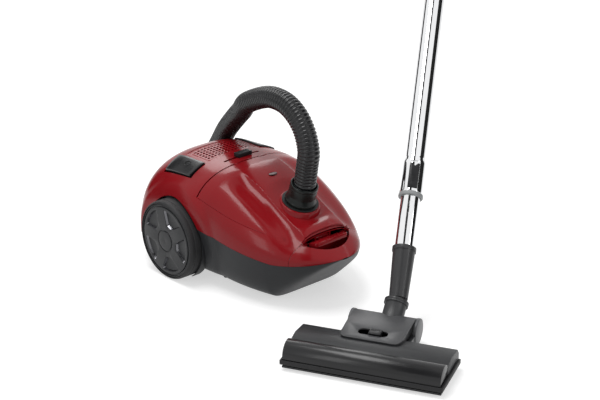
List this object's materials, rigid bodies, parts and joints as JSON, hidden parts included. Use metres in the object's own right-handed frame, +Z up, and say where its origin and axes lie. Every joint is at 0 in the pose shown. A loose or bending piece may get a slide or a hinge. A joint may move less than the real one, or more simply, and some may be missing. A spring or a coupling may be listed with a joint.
{
  "type": "canister vacuum cleaner",
  "caption": "Bagged canister vacuum cleaner with red shell, large rear wheels, ribbed hose, telescopic tube and turbo brush floor nozzle.",
  "frame": {"origin": "on the floor, midway between the two rear wheels under their axle", "axes": "+Z up, -Y towards the canister's front (the handle and lid latch), +X to the canister's left-hand side as seen from its front"},
  "size_m": [0.6223, 0.9659, 0.5508],
  "materials": {
    "red_shell": "glossy deep red",
    "dark_shell": "fine-grained dark grey",
    "grey_plastic": "satin mid grey",
    "black_plastic": "semi-gloss black",
    "tyre": "matte black rubber",
    "hub": "satin charcoal with silver accents",
    "chrome": "polished chrome-plated steel",
    "steel": "plain steel",
    "hose_black": "glossy black corrugated",
    "window": "smoked clear plastic",
    "signal": "signal red",
    "white_plastic": "natural white",
    "board": "green circuit board",
    "paper": "fibrous paper",
    "foam": "open foam",
    "rubber_black": "soft black rubber",
    "brush_red": "dark red",
    "bristle": "dark nylon bristles",
    "motor_metal": "cast and pressed metal"
  },
  "bodies": {
    "canister": {"lower_housing": "dark_shell", "upper_housing": "red_shell", "nose_handle": "red_shell", "bulkhead": "dark_shell", "motor_filter": "foam", "motor_casing": "white_plastic", "exhaust_grille": "red_shell", "exhaust_filter": "white_plastic", "reel_frame": "grey_plastic", "cable_outlet": "rubber_black", "control_board": "board", "power_switch": "white_plastic", "pedal_springs": "steel", "wheel_pins": "steel", "screws": "steel", "bag_holder": "grey_plastic", "dust_bag": "paper", "hose": "hose_black", "grip_nut": "black_plastic"},
    "rotor": {"motor_rotor": "steel", "fan_impeller": "motor_metal"},
    "reel": {"cable_reel": "grey_plastic"},
    "brake": {"reel_brake": "black_plastic"},
    "slider": {"slider_knob": "black_plastic"},
    "power_pedal": {"power_pedal": "grey_plastic"},
    "rewind_pedal": {"rewind_pedal": "grey_plastic"},
    "wheel_left": {"hub_left": "hub", "tyre_left": "tyre"},
    "wheel_right": {"hub_right": "hub", "tyre_right": "tyre"},
    "caster": {"caster_fork": "grey_plastic", "caster_pin": "steel"},
    "caster_roll": {"caster_wheel": "rubber_black"},
    "lid": {"lid": "red_shell", "lid_seal": "rubber_black", "port_collar": "black_plastic", "indicator_window": "window"},
    "flag": {"indicator_flag": "signal"},
    "latch": {"lid_latch": "red_shell"},
    "cuff": {"hose_cuff": "black_plastic"},
    "grip": {"grip_body": "black_plastic"},
    "bleed": {"grip_slider": "grey_plastic"},
    "nozzle": {"nozzle_sole": "dark_shell", "nozzle_deck": "dark_shell", "nozzle_plate": "grey_plastic", "brush_cover": "black_plastic", "bumper_strip": "rubber_black", "drum_caps": "grey_plastic", "drive_belt": "rubber_black"},
    "brush": {"brush_roll": "brush_red", "bristles": "bristle"},
    "turbine": {"turbine": "white_plastic"},
    "nozzle_switch": {"nozzle_switch": "black_plastic"},
    "roller_left": {"roller_left": "grey_plastic"},
    "roller_right": {"roller_right": "grey_plastic"},
    "neck": {"neck_drum": "dark_shell"},
    "elbow": {"neck_elbow": "dark_shell", "inner_tube": "chrome"},
    "upper_tube": {"outer_tube": "chrome"},
    "wand_latch": {"wand_latch": "black_plastic"}
  },
  "joints": [
    {"name": "wheel_left_spin", "type": "hinge", "parent": "canister", "child": "wheel_left", "pos_m": [-0.13, 0, 0.07], "axis": [1, 0, 0], "continuous": true},
    {"name": "wheel_right_spin", "type": "hinge", "parent": "canister", "child": "wheel_right", "pos_m": [0.13, 0, 0.07], "axis": [1, 0, 0], "continuous": true},
    {"name": "caster_swivel", "type": "hinge", "parent": "canister", "child": "caster", "pos_m": [0, -0.15, 0.04], "axis": [0, 0, 1], "continuous": true},
    {"name": "caster_spin", "type": "hinge", "parent": "caster", "child": "caster_roll", "pos_m": [0, -0.141, 0.014], "axis": [1, 0, 0], "continuous": true},
    {"name": "lid_hinge", "type": "hinge", "parent": "canister", "child": "lid", "pos_m": [0, -0.0526, 0.1956], "axis": [-1, 0, 0], "range_deg": [0, 70], "deforming": ["hose"]},
    {"name": "latch_lift", "type": "hinge", "parent": "lid", "child": "latch", "pos_m": [0, -0.233, 0.112], "axis": [-1, 0, 0], "range_deg": [0, 12], "stiffness_Nm_per_rad": 0.3, "springref_deg": -8.59},
    {"name": "flag_rise", "type": "slide", "parent": "lid", "child": "flag", "axis": [0, 0, 1], "range_m": [0, 0.004]},
    {"name": "cuff_swivel", "type": "hinge", "parent": "lid", "child": "cuff", "pos_m": [0, -0.181, 0.155], "axis": [0, -0.309, 0.9511], "continuous": true},
    {"name": "suction_slider", "type": "slide", "parent": "canister", "child": "slider", "axis": [1, 0, 0], "range_m": [-0.034, 0.028]},
    {"name": "power_press", "type": "hinge", "parent": "canister", "child": "power_pedal", "pos_m": [-0.065, 0.028, 0.176], "axis": [0, -1, 0], "range_deg": [0, 4], "stiffness_Nm_per_rad": 2, "springref_deg": -2.86, "deforming": ["pedal_springs"]},
    {"name": "rewind_press", "type": "hinge", "parent": "canister", "child": "rewind_pedal", "pos_m": [0.065, 0.028, 0.176], "axis": [0, 1, 0], "range_deg": [0, 4], "stiffness_Nm_per_rad": 2, "springref_deg": -2.86, "deforming": ["pedal_springs"]},
    {"name": "brake_release", "type": "hinge", "parent": "canister", "child": "brake", "pos_m": [0.082, 0.05, 0.134], "axis": [1, 0, 0], "range_deg": [0, 4]},
    {"name": "reel_spin", "type": "hinge", "parent": "canister", "child": "reel", "pos_m": [0.056, 0.024, 0.084], "axis": [1, 0, 0], "continuous": true},
    {"name": "rotor_spin", "type": "hinge", "parent": "canister", "child": "rotor", "pos_m": [-0.044, 0, 0.088], "axis": [0, 1, 0], "continuous": true},
    {"name": "grip_turn", "type": "hinge", "parent": "canister", "child": "grip", "pos_m": [0.272, 0.15, 0.02], "axis": [-0.2747, -0.9615, 0], "continuous": true},
    {"name": "bleed_slide", "type": "slide", "parent": "grip", "child": "bleed", "axis": [-0.2747, -0.9615, 0], "range_m": [0, 0.012]},
    {"name": "wand_stand", "type": "slide", "parent": "canister", "child": "nozzle", "axis": [0, 0, 1], "range_m": [0, 0.3]},
    {"name": "brush_spin", "type": "hinge", "parent": "nozzle", "child": "brush", "pos_m": [-0.1431, -0.48838, 0.022], "axis": [0.4617, -0.887, 0], "continuous": true},
    {"name": "turbine_spin", "type": "hinge", "parent": "nozzle", "child": "turbine", "pos_m": [-0.09786, -0.46483, 0.022], "axis": [0.4617, -0.887, 0], "continuous": true},
    {"name": "switch_slide", "type": "slide", "parent": "nozzle", "child": "nozzle_switch", "axis": [0.4617, -0.887, 0], "range_m": [-0.0135, 0.0055]},
    {"name": "roller_left_spin", "type": "hinge", "parent": "nozzle", "child": "roller_left", "pos_m": [-0.14627, -0.37617, 0.0075], "axis": [0.4617, -0.887, 0], "continuous": true},
    {"name": "roller_right_spin", "type": "hinge", "parent": "nozzle", "child": "roller_right", "pos_m": [-0.053, -0.55534, 0.0075], "axis": [0.4617, -0.887, 0], "continuous": true},
    {"name": "neck_tilt", "type": "hinge", "parent": "nozzle", "child": "neck", "pos_m": [-0.03045, -0.42974, 0.027], "axis": [0.4617, -0.887, 0], "range_deg": [-28, 12]},
    {"name": "elbow_turn", "type": "hinge", "parent": "neck", "child": "elbow", "pos_m": [0.00236, -0.41266, 0.0576], "axis": [0.6835, 0.3558, 0.6374], "continuous": true},
    {"name": "telescope", "type": "slide", "parent": "elbow", "child": "upper_tube", "axis": [0.5647, 0.4255, 0.7071], "range_m": [0, 0.34]},
    {"name": "latch_slide", "type": "slide", "parent": "upper_tube", "child": "wand_latch", "axis": [0.5647, 0.4255, 0.7071], "range_m": [0, 0.005], "stiffness_N_per_m": 600, "springref_m": -0.002}
  ],
  "couplings": [
    {"joint": "turbine_spin", "follows": "brush_spin", "ratio": 1.6},
    {"joint": "brake_release", "follows": "rewind_press", "ratio": 1}
  ]
}
